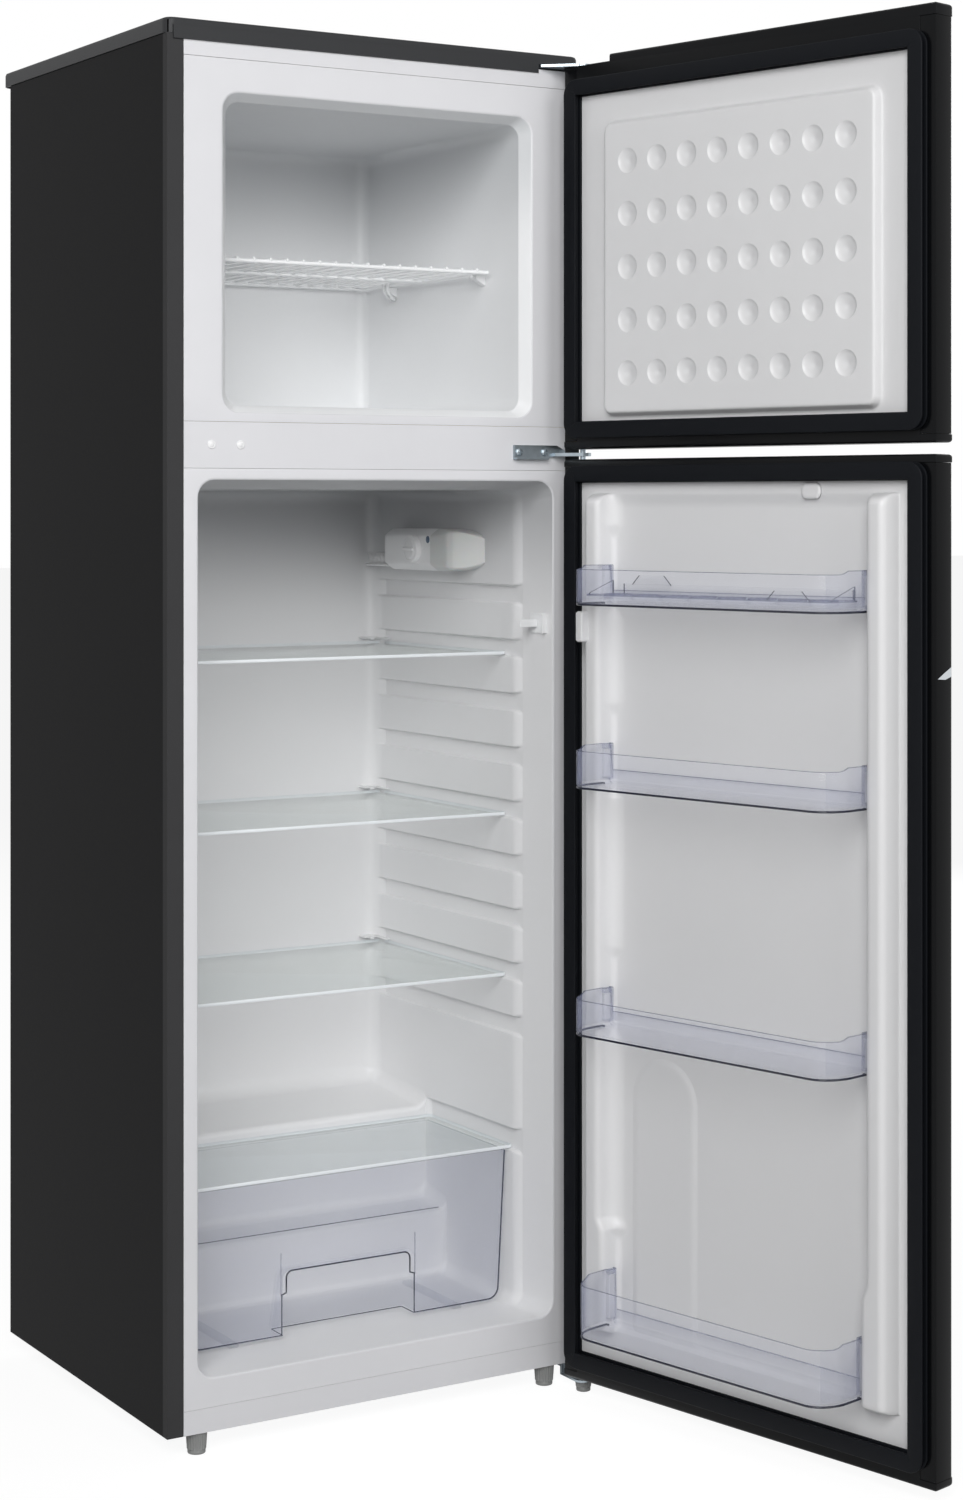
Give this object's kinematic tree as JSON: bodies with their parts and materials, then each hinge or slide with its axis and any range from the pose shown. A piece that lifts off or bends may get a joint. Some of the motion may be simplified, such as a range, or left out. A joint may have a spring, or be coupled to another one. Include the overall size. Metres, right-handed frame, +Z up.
{
  "type": "top freezer refrigerator",
  "caption": "Free-standing refrigerator with a freezer above, two right-hinged doors standing open, glass and wire shelves, door bins and a crisper drawer.",
  "frame": {"origin": "middle of the bounding box with both doors open, on the floor under the feet", "axes": "+Z up, -Y towards the open front of the cabinet, +X to the hinge side"},
  "size_m": [0.6632, 1.0396, 1.6],
  "materials": {
    "cabinet_steel": "satin dark grey enamel",
    "lid_plastic": "fine-grained dark grey",
    "galvanised": "galvanised sheet",
    "foam": "rigid foam",
    "white_plastic": "smooth white",
    "zinc": "zinc plated",
    "lamp_plastic": "translucent white",
    "glass": "clear",
    "white_wire": "white powder coat on steel wire",
    "clear_plastic": "clear, slightly blue",
    "grey_plastic": "grey",
    "black_plastic": "black",
    "black_steel": "black paint",
    "copper": "copper tube",
    "door_steel": "gloss black",
    "gasket": "soft black",
    "chrome": "bright"
  },
  "bodies": {
    "cabinet": {"cabinet_shell": "cabinet_steel", "top_cover": "lid_plastic", "back_panel": "galvanised", "base_pan": "galvanised", "cabinet_foam": "foam", "fridge_liner": "white_plastic", "freezer_liner": "white_plastic", "bottom_front_beam": "white_plastic", "middle_front_beam": "white_plastic", "top_front_beam": "white_plastic", "top_hinge": "zinc", "middle_hinge": "zinc", "bottom_hinge": "zinc", "hinge_screw_1": "zinc", "hinge_screw_2": "zinc", "hole_plug_1": "white_plastic", "hole_plug_2": "white_plastic", "thermostat_housing": "white_plastic", "lamp_cover": "lamp_plastic", "lamp_bulb": "glass", "switch_bezel": "white_plastic", "rear_rail": "galvanised", "compressor": "black_steel", "relay_box": "black_plastic", "drain_tray": "grey_plastic", "filter_drier": "copper", "discharge_line": "copper"},
    "freezer_door": {"freezer_door_skin": "door_steel", "freezer_door_top_cap": "black_plastic", "freezer_door_bottom_cap": "black_plastic", "freezer_door_foam": "foam", "freezer_door_liner": "white_plastic", "freezer_door_gasket": "gasket"},
    "fridge_door": {"fridge_door_skin": "door_steel", "fridge_door_top_cap": "black_plastic", "fridge_door_bottom_cap": "black_plastic", "fridge_door_foam": "foam", "fridge_door_liner": "white_plastic", "fridge_door_gasket": "gasket", "fridge_door_edge_trim": "chrome"},
    "freezer_wire_shelf": {"freezer_wire_shelf": "white_wire"},
    "glass_shelf_1": {"glass_shelf_1": "glass"},
    "glass_shelf_2": {"glass_shelf_2": "glass"},
    "glass_shelf_3": {"glass_shelf_3": "glass"},
    "crisper_cover": {"crisper_cover": "glass"},
    "crisper_drawer": {"crisper_drawer": "clear_plastic"},
    "door_bin_1": {"door_bin_1": "clear_plastic"},
    "door_bin_2": {"door_bin_2": "clear_plastic"},
    "door_bin_3": {"door_bin_3": "clear_plastic"},
    "door_bin_4": {"door_bin_4": "clear_plastic"},
    "egg_tray": {"egg_tray": "clear_plastic"},
    "thermostat_knob": {"thermostat_knob": "white_plastic"},
    "switch_lever": {"switch_lever": "white_plastic"},
    "front_foot_left": {"front_foot_left": "grey_plastic"},
    "front_foot_right": {"front_foot_right": "grey_plastic"},
    "hinge_foot": {"hinge_foot": "grey_plastic"},
    "rear_roller_left": {"rear_roller_left": "black_plastic"},
    "rear_roller_right": {"rear_roller_right": "black_plastic"}
  },
  "joints": [
    {"name": "freezer_door_hinge", "type": "hinge", "parent": "cabinet", "child": "freezer_door", "pos_m": [0.19992, 0.00127, 1.353], "axis": [0, 0, 1], "range_deg": [-103, 32]},
    {"name": "fridge_door_hinge", "type": "hinge", "parent": "cabinet", "child": "fridge_door", "pos_m": [0.19992, 0.00127, 0.565], "axis": [0, 0, 1], "range_deg": [-103, 32]},
    {"name": "freezer_shelf_slide", "type": "slide", "parent": "cabinet", "child": "freezer_wire_shelf", "axis": [0, -1, 0], "range_m": [0, 0.2]},
    {"name": "glass_shelf_1_slide", "type": "slide", "parent": "cabinet", "child": "glass_shelf_1", "axis": [0, -1, 0], "range_m": [0, 0.16]},
    {"name": "glass_shelf_2_slide", "type": "slide", "parent": "cabinet", "child": "glass_shelf_2", "axis": [0, -1, 0], "range_m": [0, 0.16]},
    {"name": "glass_shelf_3_slide", "type": "slide", "parent": "cabinet", "child": "glass_shelf_3", "axis": [0, -1, 0], "range_m": [0, 0.16]},
    {"name": "crisper_cover_slide", "type": "slide", "parent": "cabinet", "child": "crisper_cover", "axis": [0, -1, 0], "range_m": [0, 0.16]},
    {"name": "crisper_drawer_slide", "type": "slide", "parent": "cabinet", "child": "crisper_drawer", "axis": [0, -1, 0], "range_m": [0, 0.16]},
    {"name": "door_bin_1_lift", "type": "slide", "parent": "fridge_door", "child": "door_bin_1", "axis": [0, 0, 1], "range_m": [0, 0.03]},
    {"name": "door_bin_2_lift", "type": "slide", "parent": "fridge_door", "child": "door_bin_2", "axis": [0, 0, 1], "range_m": [0, 0.03]},
    {"name": "door_bin_3_lift", "type": "slide", "parent": "fridge_door", "child": "door_bin_3", "axis": [0, 0, 1], "range_m": [0, 0.03]},
    {"name": "door_bin_4_lift", "type": "slide", "parent": "fridge_door", "child": "door_bin_4", "axis": [0, 0, 1], "range_m": [0, 0.03]},
    {"name": "egg_tray_lift", "type": "slide", "parent": "door_bin_1", "child": "egg_tray", "axis": [0, 0, 1], "range_m": [0, 0.03]},
    {"name": "thermostat_turn", "type": "hinge", "parent": "cabinet", "child": "thermostat_knob", "pos_m": [0.12192, 0.28177, 1.003], "axis": [-1, 0, 0], "range_deg": [0, 270]},
    {"name": "switch_lever_pivot", "type": "hinge", "parent": "cabinet", "child": "switch_lever", "pos_m": [0.16822, 0.05977, 0.916], "axis": [0, 0, 1], "range_deg": [-14, 0], "stiffness_Nm_per_rad": 0.02},
    {"name": "front_foot_left_turn", "type": "hinge", "parent": "cabinet", "child": "front_foot_left", "pos_m": [-0.28858, 0.04577, 0.013], "axis": [0, 0, 1], "continuous": true},
    {"name": "front_foot_right_turn", "type": "hinge", "parent": "cabinet", "child": "front_foot_right", "pos_m": [0.17242, 0.04577, 0.013], "axis": [0, 0, 1], "continuous": true},
    {"name": "hinge_foot_turn", "type": "hinge", "parent": "cabinet", "child": "hinge_foot", "pos_m": [0.19992, 0.00127, 0.005], "axis": [0, 0, 1], "continuous": true},
    {"name": "rear_roller_left_spin", "type": "hinge", "parent": "cabinet", "child": "rear_roller_left", "pos_m": [-0.28008, 0.46977, 0.013], "axis": [1, 0, 0], "continuous": true},
    {"name": "rear_roller_right_spin", "type": "hinge", "parent": "cabinet", "child": "rear_roller_right", "pos_m": [0.16392, 0.46977, 0.013], "axis": [1, 0, 0], "continuous": true}
  ]
}
